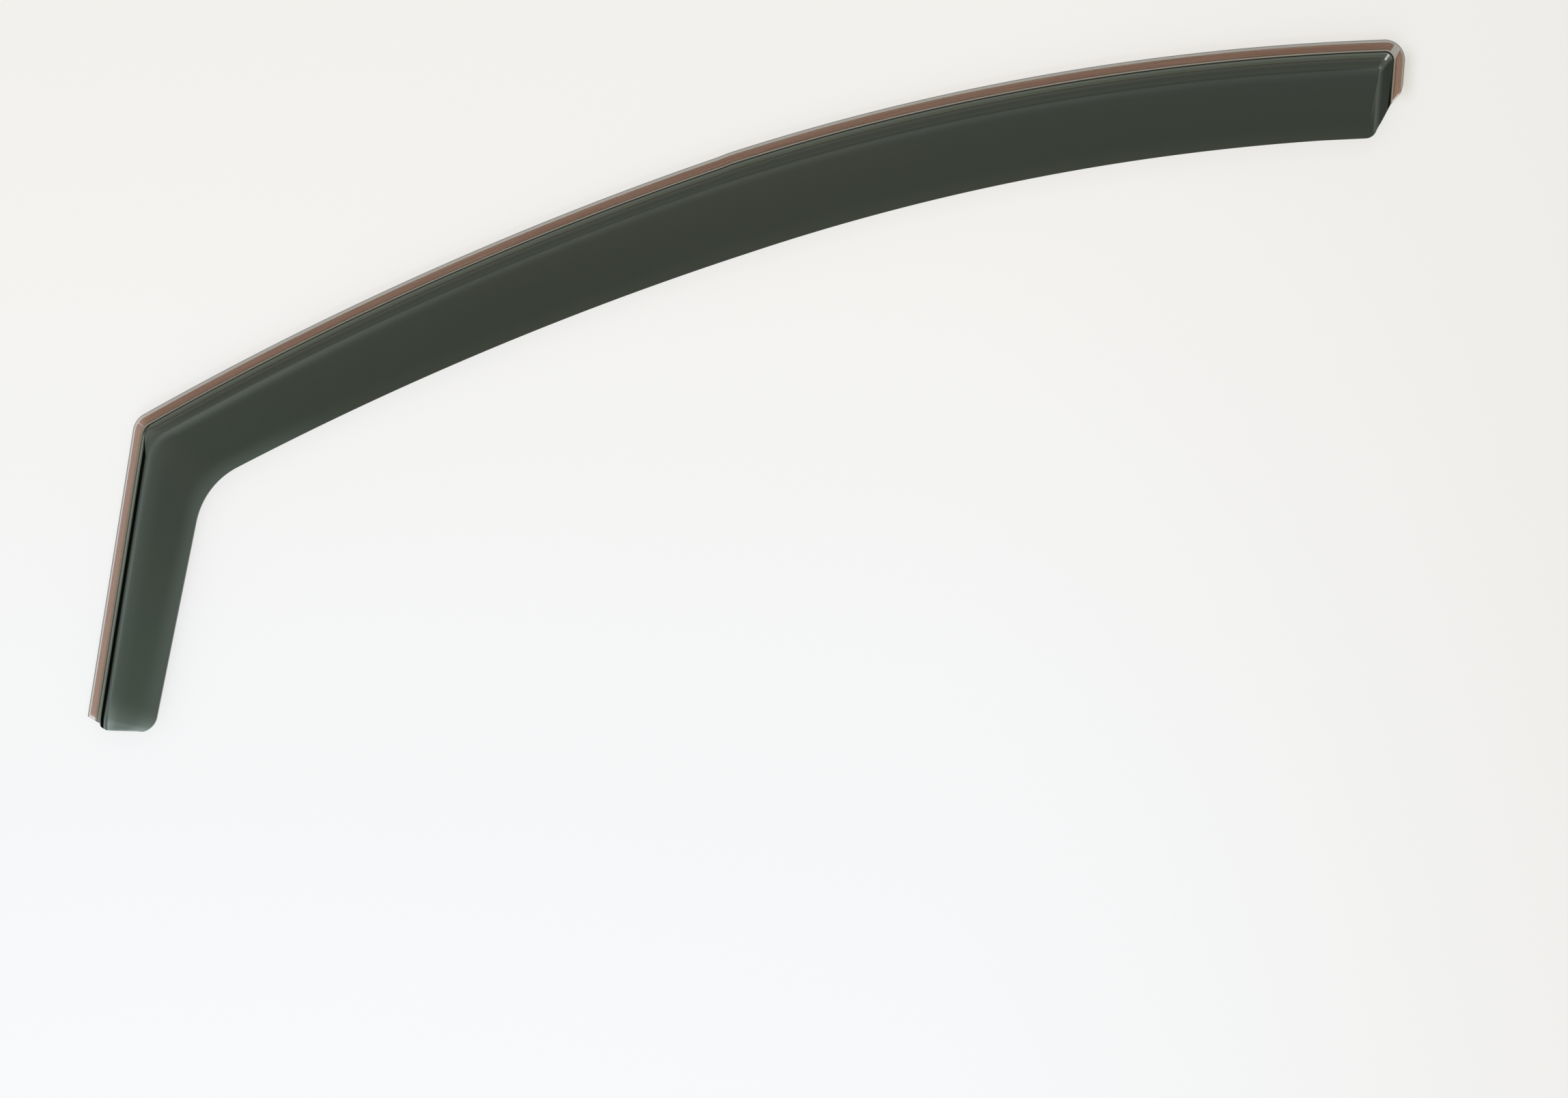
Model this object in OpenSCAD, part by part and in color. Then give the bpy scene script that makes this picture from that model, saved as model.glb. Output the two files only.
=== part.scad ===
// Stick-on rain deflector for the window of a car's front door.
// It lies on its adhesive side: X runs along the long arc, Y points to the
// outer edge, Z is up, and the origin is under the middle of the outline.

/* [Outline] */
// Radius of the outer edge between the elbow and the join of the two arcs
front_radius = 2215; // [1800:5:2800]
// Radius of the outer edge between the join and the closed end
rear_radius = 1460; // [1200:5:1800]
// Distance along X from the join to the corner of the elbow
front_reach = 400; // [320:5:460]
// Distance along X from the join to the corner of the closed end
rear_reach = 414.5; // [340:0.5:480]
// Bend of the outer edge at the join, in degrees
join_bend = 0.9; // [0:0.1:2]
// Turn of the outer edge at the elbow, in degrees
elbow_turn = 50.4; // [40:0.1:60]
// Turn of the outer edge at the closed end, in degrees
end_turn = 96; // [88:1:104]
// Length of the leg's outer edge, from the corner of the elbow to the foot
leg_length = 188; // [140:1:240]
// Rounding of the outer edge at the elbow
elbow_radius = 14; // [12:1:20]
// Rounding of the outer edge at the closed end
end_radius = 12; // [10:1:16]
// Height of the small step in the outer edge at the join
edge_step = 0.4; // [0.2:0.1:1.5]

/* [Widths] */
// Width of the leg at its foot
foot_width = 44.2; // [40:0.1:52]
// Width of the leg where it reaches the elbow
leg_width = 51.7; // [48:0.1:60]
// Width of the arc where it reaches the elbow
elbow_width = 56.2; // [52:0.1:64]
// Width of the arc at the join
join_width = 60.9; // [54:0.1:68]
// Width of the arc at the closed end
end_width = 57.9; // [50:0.1:64]
// Rounding of the free edge inside the elbow
inner_elbow_radius = 51; // [36:1:60]

/* [Ends] */
// How far the riser reaches below the outer edge at the foot
foot_riser_lead = 2.3; // [1:0.1:4]
// How far the crest reaches below the outer edge at the foot
foot_crest_lead = 4.6; // [2:0.1:7]
// Slope of the bottom edge of the foot, in degrees from square
foot_rake = 7; // [4:1:16]
// Rounding of the free corner at the foot
foot_corner_radius = 12; // [8:0.5:15]
// Slope of the slanting cut through the panel and the riser, in degrees from square
panel_cut = 67; // [60:1:69]
// Slope of the same cut through the flange
flange_cut = 50; // [45:1:58]
// Rounding of the corner between that cut and the outer edge
cut_radius = 12; // [8:1:14]
// Distance across the closed end from its crest to the free corner
end_margin = 2.2; // [2:0.1:4]
// Rounding of the free corner at the closed end
end_corner_radius = 7; // [5:0.5:7.5]

/* [Flange] */
// Width of the flange along the leg
leg_flange = 6.3; // [6:0.1:9]
// Width of the flange along the arc
arc_flange = 7.1; // [6:0.1:9]
// Width of the flange across the closed end
end_flange = 6.7; // [6:0.1:9]

/* [Section] */
// Thickness of the acrylic sheet
sheet = 3; // [2:0.1:3.5]
// Height of the crest above the flange
rise = 12.5; // [10:0.5:15]
// Slope of the riser, in degrees from the flange
riser_slope = 75; // [72:1:78]
// Radius of the fold between flange and riser
foot_fold = 2; // [1:0.1:2.5]
// Distance of the crest from the riser's foot, along the leg
leg_crest = 8.5; // [7:0.1:10]
// The same distance along the arc
arc_crest = 9.3; // [7.5:0.1:12]
// The same distance across the closed end
end_crest = 6.2; // [6:0.1:7]
// Rounding of the crest line in plan at the elbow
crest_elbow_radius = 28; // [25:1:45]
// Rounding of the crest line in plan at the closed end
crest_end_radius = 2; // [1:0.5:4]
// Fall of the panel from its crest to its free edge
panel_fall = 4.5; // [3:0.5:7]
// How much of that fall comes from the panel's curve, the rest being a steady slope
panel_crown = 0.25; // [0:0.05:1]
// Share of the panel's width over which it turns down from the crest
crest_share = 0.07; // [0.02:0.01:0.2]
// Fall of the panel where it rolls down at the foot
foot_roll = 4; // [2:0.5:6]
// Length of that roll along the leg
foot_roll_length = 10; // [7:0.5:14]
// Bevel along the upper corner of every cut edge
edge_bevel = 0.5; // [0.2:0.1:0.8]

/* [Tape] */
// Width of the foam tape
tape_width = 4.4; // [3.5:0.1:4.6]
// Distance of the tape from the outer edge along the leg
leg_tape_inset = 0.8; // [0.6:0.1:1.3]
// The same distance along the arc and across the closed end
arc_tape_inset = 1.9; // [1.2:0.1:2.2]
// Thickness of the foam tape
tape = 1.2; // [0.8:0.1:2]
// Thickness of the release liner under the tape
liner = 0.3; // [0.2:0.05:0.5]
// Distance of the tape from the cut ends of the flange
tape_end_inset = 1; // [0.5:0.1:2]

/* [Hidden] */

// Stations along the outline, counted from the foot to the slanting cut
foot_steps = 6;
leg_steps = 8;
elbow_steps = 13;
front_steps = 22;
rear_steps = 24;
corner_steps = 12;
end_steps = 8;
elbow_start = foot_steps + leg_steps;
corner_start = elbow_start + elbow_steps + front_steps + 1 + rear_steps;
last_station = corner_start + corner_steps + end_steps;

// Columns across the section, from the outer edge to the free edge
riser_steps = 12;
panel_steps = 9;

// How much closer together the columns of the panel lie near the crest
panel_grading = 1.6;

// Length of leg that the closer stations at the foot take
foot_span = 22;
// Half the length of the small step in the outer edge
half_step = 4;
// Length of free edge that fans out into the closed end
fan_length = 30;

// The two arcs, the elbow and the closed end
front_centre = -front_radius * heading(90 + join_bend / 2);
rear_centre = -rear_radius * heading(90 - join_bend / 2);
elbow_angle = asin((front_reach + front_centre.x) / front_radius);
end_angle = asin((rear_reach - rear_centre.x) / rear_radius);
elbow_corner = front_centre + front_radius * [-sin(elbow_angle), cos(elbow_angle)];
end_corner = rear_centre + rear_radius * [sin(end_angle), cos(end_angle)];
leg_dir = heading(180 + elbow_angle + elbow_turn);
leg_in = [-leg_dir.y, leg_dir.x];
end_dir = heading(-end_angle - end_turn);
end_in = [end_dir.y, -end_dir.x];

function heading(angle) = [cos(angle), sin(angle)];
function unit(v) = v / norm(v);
function mix(a, b, t) = a + (b - a) * t;
function leg_point(along, across) = elbow_corner + along * leg_dir + across * leg_in;
function end_point(along, across) = end_corner + along * end_dir + across * end_in;

// Point where the line through p along d meets the line through q along e
function meet(p, d, q, e) = p + d * cross(q - p, e) / cross(d, e);

// Length from p along d to the circle, on the side that faces p
function reach_circle(p, d, centre, radius) =
    let (v = p - centre, b = v * d)
    -b - sqrt(b * b - v * v + radius * radius);

// Points of the arc that turns from one point to another about a centre
function turn_points(centre, from, to, steps) =
    let (
        a = from - centre,
        b = to - centre,
        turn = atan2(cross(a, b), a * b)
    )
    [for (k = [0:steps])
        let (t = turn * k / steps)
        centre + [a.x * cos(t) - a.y * sin(t), a.x * sin(t) + a.y * cos(t)]];

// Centre of the rounding between a straight line and an arc, inside both
function rounding_centre(p, d, inward, radius, centre, arc_radius) =
    let (start = p + radius * inward)
    start + reach_circle(start, d, centre, arc_radius - radius) * d;

// Rounding between two straight lines that meet in a corner
function rounded_corner(before, corner, after, radius, steps) =
    let (
        a = unit(before - corner),
        b = unit(after - corner),
        half = acos(a * b) / 2,
        reach = radius / tan(half)
    )
    turn_points(corner + unit(a + b) * radius / sin(half),
        corner + a * reach, corner + b * reach, steps);

// Points along an arc from one angle to another, clockwise from +Y, while the
// offset from the outer edge goes from one value to another
function arc_rail(centre, radius, from, to, offset_from, offset_to, steps) =
    [for (k = [0:steps])
        let (angle = mix(from, to, k / steps))
        centre
        + (radius - mix(offset_from, offset_to, k / steps)) * [sin(angle), cos(angle)]];

function angle_about(centre, p) = atan2(p.x - centre.x, p.y - centre.y);

// A rail is a line along the piece. It is given by its offsets from the outer
// edge: [foot, elbow on the leg, elbow on the arc, join before the step, join
// after it, arc at the closed end, closed end].
function rail_leg_dir(offsets) =
    unit(leg_point(leg_length, offsets[0]) - leg_point(0, offsets[1]));

function elbow_points(offsets, radius) =
    let (
        dir = rail_leg_dir(offsets),
        inward = [-dir.y, dir.x],
        centre = rounding_centre(leg_point(0, offsets[1]), dir, inward, radius,
            front_centre, front_radius - offsets[2])
    )
    turn_points(centre, centre - inward * radius,
        centre + unit(centre - front_centre) * radius, elbow_steps);

function corner_points(offsets, radius) =
    let (
        centre = rounding_centre(end_point(0, offsets[6]), end_dir, end_in, radius,
            rear_centre, rear_radius - offsets[5])
    )
    turn_points(centre, centre + unit(centre - rear_centre) * radius,
        centre - end_in * radius, corner_steps);

// Stations between the elbow and the closed end
function arc_points(offsets, elbow_end, corner_begin) =
    concat(
        arc_rail(front_centre, front_radius, angle_about(front_centre, elbow_end),
            angle_about(front_centre, [-half_step, 0]), offsets[2], offsets[3],
            front_steps),
        arc_rail(rear_centre, rear_radius, angle_about(rear_centre, [half_step, 0]),
            angle_about(rear_centre, corner_begin), offsets[4], offsets[5],
            rear_steps));

// Stations along the leg, closer together near the foot
function leg_points(foot, elbow_begin) =
    let (span = foot_span / norm(elbow_begin - foot))
    concat(
        [for (k = [0:foot_steps - 1]) mix(foot, elbow_begin, span * k / foot_steps)],
        [for (k = [0:leg_steps - 1])
            mix(foot, elbow_begin, mix(span, 1, k / leg_steps))]);

function without_first(points) = [for (k = [1:len(points) - 1]) points[k]];

// A rail that ends on the slanting cut of the closed end
function flange_rail(offsets, elbow_rounding, corner_rounding, foot_along, cut_along) =
    let (
        elbow = elbow_points(offsets, elbow_rounding),
        corner = corner_points(offsets, corner_rounding),
        cut = end_point(cut_along, offsets[6])
    )
    concat(
        leg_points(leg_point(foot_along, offsets[0]), elbow[0]),
        elbow,
        without_first(arc_points(offsets, elbow[elbow_steps], corner[0])),
        without_first(corner),
        [for (k = [1:end_steps]) mix(corner[corner_steps], cut, k / end_steps)]);

// The slanting cut, from the free edge over the riser's foot to the outer edge
crest_across = end_flange + end_crest;
free_radius = rear_radius - end_width;
free_line = end_point(0, crest_across + end_margin);
free_corner = free_line
    + reach_circle(free_line, end_dir, rear_centre, free_radius) * end_dir;
free_along = (free_corner - end_corner) * end_dir;
foot_cut = free_along - (end_crest + end_margin) * tan(panel_cut);
cut_inset = cut_radius * (1 - sin(flange_cut));
corner_cut = foot_cut - (end_flange - cut_inset) * tan(flange_cut)
    - cut_radius * cos(flange_cut);
function cut_along(across) =
    across > end_flange ? foot_cut + (across - end_flange) * tan(panel_cut) :
    across > cut_inset ? foot_cut - (end_flange - across) * tan(flange_cut) :
    corner_cut + sqrt(pow(cut_radius, 2) - pow(cut_radius - across, 2));

// Rails of the outer edge, the riser's foot and the crest
function even_rail(offset) =
    flange_rail(
        [offset, offset, offset, offset + edge_step, offset, offset, offset],
        elbow_radius - offset, end_radius - offset,
        leg_length + offset * foot_riser_lead / leg_flange, cut_along(offset));
outer_rail = even_rail(0);
bevel_rail = even_rail(edge_bevel);
rounding_rail = even_rail(cut_inset);
foot_rail = flange_rail(
    [leg_flange, leg_flange, arc_flange, arc_flange + edge_step, arc_flange,
        arc_flange, end_flange],
    elbow_radius - leg_flange, end_radius - end_flange,
    leg_length + foot_riser_lead, cut_along(end_flange));
crest_rail = flange_rail(
    [leg_flange + leg_crest, leg_flange + leg_crest, arc_flange + arc_crest,
        arc_flange + arc_crest, arc_flange + arc_crest, arc_flange + arc_crest,
        crest_across],
    crest_elbow_radius, crest_end_radius,
    leg_length + foot_crest_lead, cut_along(crest_across));

// Rail of the free edge, with the rounded corners at both ends
free_offsets = [foot_width, leg_width, elbow_width, join_width, join_width, end_width];
free_leg_dir = rail_leg_dir(free_offsets);
rake_dir = leg_in * cos(foot_rake) - leg_dir * sin(foot_rake);
bottom_corner = meet(crest_rail[0], rake_dir, leg_point(0, leg_width), free_leg_dir);
foot_rounding = rounded_corner(crest_rail[0], bottom_corner, leg_point(0, leg_width),
    foot_corner_radius, foot_steps);
free_elbow = elbow_points(free_offsets, inner_elbow_radius);
fan_begin = rear_centre + free_radius
    * heading(90 - angle_about(rear_centre, free_corner)
        + fan_length / free_radius * 180 / PI);
end_rounding = rounded_corner(fan_begin, free_corner, end_point(cut_along(0), 0),
    end_corner_radius, end_steps);
free_rail = concat(
    foot_rounding,
    [for (k = [1:leg_steps - 1])
        mix(foot_rounding[foot_steps], free_elbow[0], k / leg_steps)],
    free_elbow,
    without_first(arc_points(free_offsets, free_elbow[elbow_steps], fan_begin)),
    [for (k = [1:corner_steps]) mix(fan_begin, end_rounding[0], k / corner_steps)],
    without_first(end_rounding));

// Inward normal of the outline at each station
function station_normal(i) =
    i <= elbow_start ? leg_in :
    i < elbow_start + elbow_steps
        ? turn_points([0, 0], leg_in, arc_in(elbow_start + elbow_steps), elbow_steps)
            [i - elbow_start] :
    i <= corner_start ? arc_in(i) :
    i < corner_start + corner_steps
        ? turn_points([0, 0], arc_in(corner_start), end_in, corner_steps)
            [i - corner_start] :
    end_in;
function arc_in(i) =
    unit((foot_rail[i].x < 0 ? front_centre : rear_centre) - foot_rail[i]);

// Height of the sheet above the flange at a distance from the riser's foot
function crest_fold(crest) =
    (crest * tan(riser_slope) - rise) / (1 / cos(riser_slope) - 1) - foot_fold;
function riser_height(d, crest) =
    let (
        fold = crest_fold(crest),
        wall_start = foot_fold * sin(riser_slope),
        wall_end = crest - fold * sin(riser_slope)
    )
    d <= 0 ? 0 :
    d < wall_start ? foot_fold - sqrt(foot_fold * foot_fold - d * d) :
    d < wall_end ? foot_fold * (1 - cos(riser_slope)) + (d - wall_start) * tan(riser_slope) :
    d < crest ? rise - fold + sqrt(fold * fold - (crest - d) * (crest - d)) :
    rise;

// Sideways shift of the lower face that keeps the riser as thick as the sheet
wall_shift = sheet * (1 / cos(riser_slope) - 1) / tan(riser_slope);

// Fall of the crest at a station: at the foot, and down the closed end
crest_radius = rear_radius - arc_flange - arc_crest;
function foot_fall(i) =
    let (s = norm(crest_rail[i] - crest_rail[0]) / foot_roll_length)
    i < elbow_start && s < 1 ? foot_roll * (1 - s) * (1 - s) : 0;
function end_share(i) =
    i <= corner_start ? 0 :
    max(0, (crest_radius - norm(crest_rail[i] - rear_centre)) / (crest_radius - free_radius));

// One row of points: [place in plan, distance from the riser's foot, share of the
// way across the panel, bevel]. The flange lies before the riser's foot.
before_foot = -1;
function station_columns(i) =
    let (
        normal = station_normal(i),
        crest = (crest_rail[i] - foot_rail[i]) * normal,
        panel = (free_rail[i] - crest_rail[i]) * normal,
        bevel_share = edge_bevel / norm(free_rail[i] - crest_rail[i]),
        shares = concat(
            [for (k = [1:panel_steps - 1]) (1 - bevel_share) * pow(k / panel_steps, panel_grading)],
            [1 - bevel_share, 1])
    )
    concat(
        [[outer_rail[i], before_foot, 0, edge_bevel],
            [bevel_rail[i], before_foot, 0, 0],
            [rounding_rail[i], before_foot, 0, 0]],
        [for (k = [0:riser_steps])
            [mix(foot_rail[i], crest_rail[i], k / riser_steps),
                crest * k / riser_steps, 0, 0]],
        [for (share = shares)
            [mix(crest_rail[i], free_rail[i], share), crest + panel * share, share,
                share == 1 ? edge_bevel : 0]]);

function fall_share(across) =
    (across < crest_share ? pow(across, 2) / (2 * crest_share) : across - crest_share / 2)
        / (1 - crest_share / 2);

function sheet_height(d, share, i) =
    let (
        crest = (crest_rail[i] - foot_rail[i]) * station_normal(i),
        fall = fall_share(mix(end_share(i), 1, share)),
        panel_curve = 1 - panel_crown + panel_crown * fall,
        panel_height = rise - panel_fall * fall * panel_curve - foot_fall(i)
    )
    riser_height(d, crest) / rise * panel_height;

columns = [for (i = [0:last_station]) station_columns(i)];
column_count = len(columns[0]);

// Shift that puts the origin under the middle of the outline
outline = concat(outer_rail, free_rail);
middle = [
    (min([for (p = outline) p.x]) + max([for (p = outline) p.x])) / 2,
    (min([for (p = outline) p.y]) + max([for (p = outline) p.y])) / 2
];
flange_bottom = liner + tape;

function upper_point(c, i) =
    [c[0].x - middle.x, c[0].y - middle.y,
        flange_bottom + sheet + sheet_height(c[1], c[2], i) - c[3]];
function lower_point(c, i) =
    [c[0].x - middle.x, c[0].y - middle.y,
        flange_bottom + sheet_height(c[1] - wall_shift, c[2], i)];

// Two triangles between stations i and i + 1 and columns j and j + 1
function cell(first, i, j) =
    let (a = first + i * column_count + j, b = a + column_count)
    [[a, b + 1, a + 1], [a, b, b + 1]];
function flipped(faces) = [for (f = faces) [f[2], f[1], f[0]]];

module visor_shell() {
    lower = (last_station + 1) * column_count;
    last_column = column_count - 1;
    last_row = last_station * column_count;
    upper_faces = [for (i = [0:last_station - 1], j = [0:column_count - 2])
        each cell(0, i, j)];
    lower_faces = [for (i = [0:last_station - 1], j = [0:column_count - 2])
        each flipped(cell(lower, i, j))];
    end_faces = [for (j = [0:column_count - 2])
        let (a = j, b = last_row + j)
        each [[lower + a + 1, lower + a, a], [a + 1, lower + a + 1, a],
            [lower + b, lower + b + 1, b + 1], [b, lower + b, b + 1]]];
    side_faces = [for (i = [0:last_station - 1])
        let (a = i * column_count, b = a + column_count,
            c = a + last_column, d = b + last_column)
        each [[lower + a, lower + b, b], [a, lower + a, b],
            [lower + d, lower + c, c], [d, lower + d, c]]];
    color("darkslategray")
        polyhedron(
            points = concat(
                [for (i = [0:last_station], c = columns[i]) upper_point(c, i)],
                [for (i = [0:last_station], c = columns[i]) lower_point(c, i)]),
            faces = concat(upper_faces, lower_faces, end_faces, side_faces),
            convexity = 6);
}

// Rails of the two sides of the tape, short of the cut ends
function tape_rail(across) =
    let (leg = leg_tape_inset + across, arc = arc_tape_inset + across)
    flange_rail(
        [leg, leg, arc, arc + edge_step, arc, arc, arc],
        elbow_radius - arc, end_radius - arc,
        leg_length + leg * foot_riser_lead / leg_flange - tape_end_inset,
        cut_along(arc) - tape_end_inset / cos(flange_cut));
tape_outside = tape_rail(0);
tape_inside = tape_rail(tape_width);

// First and last station of each strip, on its outer side and on its inner side.
// The joint at the elbow is one step wide, and part of the last corner stays bare.
elbow_joint = elbow_start + 6;
leg_strip = [[0, elbow_joint], [0, elbow_joint]];
arc_strip = [[elbow_joint + 1, corner_start + 4], [elbow_joint + 1, corner_start + 4]];
end_strip = [[corner_start + 7, last_station], [corner_start + 11, last_station]];

module strip(stations, bottom, thickness) {
    translate([-middle.x, -middle.y, bottom])
        linear_extrude(thickness)
            polygon(concat(
                [for (i = [stations[0][0]:stations[0][1]]) tape_outside[i]],
                [for (i = [stations[1][1]:-1:stations[1][0]]) tape_inside[i]]));
}

module tape_strip(stations) {
    color("rosybrown") strip(stations, liner, tape);
}

module liner_strip(stations) {
    color("indianred") strip(stations, 0, liner);
}

visor_shell();
tape_strip(leg_strip);  // leg_tape
tape_strip(arc_strip);  // arc_tape
tape_strip(end_strip);  // end_tape
liner_strip(leg_strip);  // leg_liner
liner_strip(arc_strip);  // arc_liner
liner_strip(end_strip);  // end_liner
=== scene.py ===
"""Looks of the window rain deflector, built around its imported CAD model."""

import math
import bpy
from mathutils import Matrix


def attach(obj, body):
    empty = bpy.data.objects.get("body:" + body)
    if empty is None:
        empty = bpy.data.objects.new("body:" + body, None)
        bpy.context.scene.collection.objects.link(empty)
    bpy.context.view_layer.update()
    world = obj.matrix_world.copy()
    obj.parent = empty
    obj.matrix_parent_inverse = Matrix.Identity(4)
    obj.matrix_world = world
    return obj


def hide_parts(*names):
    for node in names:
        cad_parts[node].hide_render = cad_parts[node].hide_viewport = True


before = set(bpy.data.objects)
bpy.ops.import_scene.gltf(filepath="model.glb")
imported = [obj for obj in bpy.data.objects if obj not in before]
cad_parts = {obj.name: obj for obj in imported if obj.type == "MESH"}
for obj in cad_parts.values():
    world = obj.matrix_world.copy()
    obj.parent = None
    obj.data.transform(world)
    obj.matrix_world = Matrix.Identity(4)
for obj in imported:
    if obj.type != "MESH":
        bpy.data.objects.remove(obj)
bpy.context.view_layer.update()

from types import SimpleNamespace

import bmesh
import bpy
import numpy as np
from mathutils import Matrix, Vector

MM = 0.001

# Outline of the sheet: millimetres and degrees, as in the CAD source
FRONT_RADIUS = 2215
REAR_RADIUS = 1460
FRONT_REACH = 400
REAR_REACH = 414.5
JOIN_BEND = 0.9
ELBOW_TURN = 50.4
END_TURN = 96
LEG_LENGTH = 188
ELBOW_RADIUS = 14
END_RADIUS = 12
EDGE_STEP = 0.4

# Widths and ends
FOOT_WIDTH = 44.2
LEG_WIDTH = 51.7
ELBOW_WIDTH = 56.2
JOIN_WIDTH = 60.9
END_WIDTH = 57.9
INNER_ELBOW_RADIUS = 51
FOOT_RISER_LEAD = 2.3
FOOT_CREST_LEAD = 4.6
FOOT_RAKE = 7
FOOT_CORNER_RADIUS = 12
PANEL_CUT = 67
FLANGE_CUT = 50
CUT_RADIUS = 12
END_MARGIN = 2.2
END_CORNER_RADIUS = 7

# Flange, section and tape; the strip of the closed end is set as the photo shows it, a
# little further out than in the CAD source
LEG_FLANGE = 6.3
ARC_FLANGE = 7.1
END_FLANGE = 6.7
SHEET = 3
RISE = 12.5
RISER_SLOPE = 75
FOOT_FOLD = 2
LEG_CREST = 8.5
ARC_CREST = 9.3
END_CREST = 6.2
CREST_ELBOW_RADIUS = 28
CREST_END_RADIUS = 2
PANEL_FALL = 4.5
PANEL_CROWN = 0.25
CREST_SHARE = 0.07
FOOT_ROLL = 4
FOOT_ROLL_LENGTH = 10
TAPE_WIDTH = 4.4
LEG_TAPE_INSET = 0.8
ARC_TAPE_INSET = 1.9
END_TAPE_INSET = 1.4
TAPE = 1.2
LINER = 0.3
TAPE_END_INSET = 1

# Fineness of the dressed sheet
STEPS = {
    "foot": 16,
    "leg": 40,
    "elbow": 39,
    "front": 80,
    "rear": 90,
    "corner": 36,
    "end": 24,
}
FLANGE_COLUMNS = 8
FLANGE_SPAN = 5.6
RISER_COLUMNS = 36
PANEL_COLUMNS = 22
PANEL_GRADING = 1.6
FOOT_SPAN = 22
HALF_STEP = 4
FAN_LENGTH = 30
EDGE_ROUNDING = 0.4
EDGE_SEGMENTS = 3
SHARP_ANGLE = 50
STRIP_COLUMNS = 5
STRIP_ROUNDING = 0.15
TAPE_GAP = 0.02

# Stations at which the strips of tape start and end
LEG_STRIP_END = 18
ARC_STRIP_START = 21
CORNER_STRIPS = 12
END_STRIP_OUTSIDE = 21
END_STRIP_INSIDE = 33

# Viewpoint of the photo: millimetres and degrees, but metres for what the camera cuts off
CAMERA_TARGET = (-3.0, -127.2, 0)
CAMERA_DISTANCE = 4980
CAMERA_AZIMUTH = 23.268
CAMERA_ELEVATION = 78.174
CAMERA_ROLL = -131.658
SENSOR_WIDTH = 36
LENS = 188.15
CLIP_START = 0.1
CLIP_END = 50

# Colours are linear; an alpha is how much the sheet hides of what lies under it, and a
# shine scales how much it mirrors
PANEL_COLOUR = (0.010, 0.0155, 0.005)
PANEL_CLOUD = (0.012, 0.0165, 0.008)
# Painted sheen and shade on the panel: darker towards the closed end, paler at the free edge,
# past the elbow, down the leg and most of all at the foot
END_SHADE_COLOUR = (0.008, 0.0145, 0.0055)
EDGE_SHEEN_COLOUR = (0.018, 0.0235, 0.0125)
ELBOW_SHEEN_COLOUR = (0.0135, 0.0225, 0.0105)
LEG_SHEEN_COLOUR = (0.0185, 0.0385, 0.022)
LEG_TOP_COLOUR = (0.0105, 0.0195, 0.0095)
LEG_EDGE_SHEEN_COLOUR = (0.044, 0.062, 0.047)
FOOT_SHEEN_COLOUR = (0.215, 0.25, 0.23)
# Painted highlights along the crest: past the elbow, near the corner, in the elbow and down the
# leg
CREST_HIGHLIGHT_COLOUR = (0.034, 0.044, 0.032)
CORNER_HIGHLIGHT_COLOUR = (0.075, 0.086, 0.07)
TURN_HIGHLIGHT_COLOUR = (0.046, 0.055, 0.042)
TOP_HIGHLIGHT_COLOUR = (0.034, 0.046, 0.037)
LEG_HIGHLIGHT_COLOUR = (0.05, 0.067, 0.056)
# Painted reflections on the riser and in the fold at its foot, brighter in the elbow and the
# corner; painted shade on the closed end's riser and a painted highlight along its crest; a
# painted reflection in the fold of the leg
RISER_REFLECTION_COLOUR = (0.05, 0.058, 0.046)
TURN_REFLECTION_COLOUR = (0.085, 0.099, 0.08)
CORNER_REFLECTION_COLOUR = (0.088, 0.103, 0.084)
FOLD_REFLECTION_COLOUR = (0.113, 0.134, 0.104)
TURN_FOLD_REFLECTION_COLOUR = (0.135, 0.147, 0.124)
CORNER_FOLD_REFLECTION_COLOUR = (0.15, 0.172, 0.147)
END_RISER_SHADE_COLOUR = (0.044, 0.052, 0.043)
END_CREST_HIGHLIGHT_COLOUR = (0.072, 0.081, 0.066)
LEG_FOLD_REFLECTION_COLOUR = (0.18, 0.2, 0.165)
FLANGE_COLOUR = (0.12, 0.12, 0.092)
RIM_COLOUR = (0.2, 0.178, 0.13)
TURN_RIM_COLOUR = (0.31, 0.285, 0.225)
INNER_RIM_COLOUR = (0.182, 0.15, 0.074)
OUTER_LINE_COLOUR = (0.095, 0.095, 0.08)
# Painted shade on the sheet; it also dulls the table's base colour
BLACK = (0.002, 0.003, 0.002)
# Painted shade in the crease at the foot of the riser
FOOT_LINE_SHADE_COLOUR = (0.006, 0.006, 0.002)
# A painted glint and a painted highlight spot near the corner
GLINT_WHITE = (0.85, 0.88, 0.85)
PANEL_ALPHA = 0.972
LEG_ALPHA = 0.96
FOLD_ALPHA = 0.93
FLANGE_ALPHA = 0.3
RIM_ALPHA = 0.72
INNER_RIM_ALPHA = 0.85
OUTER_LINE_ALPHA = 0.85
FOOT_ALPHA = 0.9
PANEL_SHINE = 0.47
CREST_SHINE = 0.56
FLANGE_SHINE = 0.5
RISER_SHINE = 0.1
TAPE_LIGHT = (0.69, 0.405, 0.28)
TAPE_DARK = (0.49, 0.225, 0.133)
TAPE_RED = (0.56, 0.235, 0.132)
TAPE_PALE = (0.68, 0.41, 0.33)
LINER_LIGHT = (0.56, 0.3, 0.235)
LINER_DARK = (0.48, 0.24, 0.185)
TABLE_COOL = (0.365, 0.368, 0.37)
TABLE_WARM = (0.365, 0.355, 0.341)
# Painted shade on the table to the right and a painted shadow beside the closed end
TABLE_SHADE = (0.345, 0.337, 0.325)
TABLE_END_SHADOW = (0.295, 0.286, 0.262)
TABLE_DULL = 0.5
TABLE_GLOW = 1.9

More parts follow.
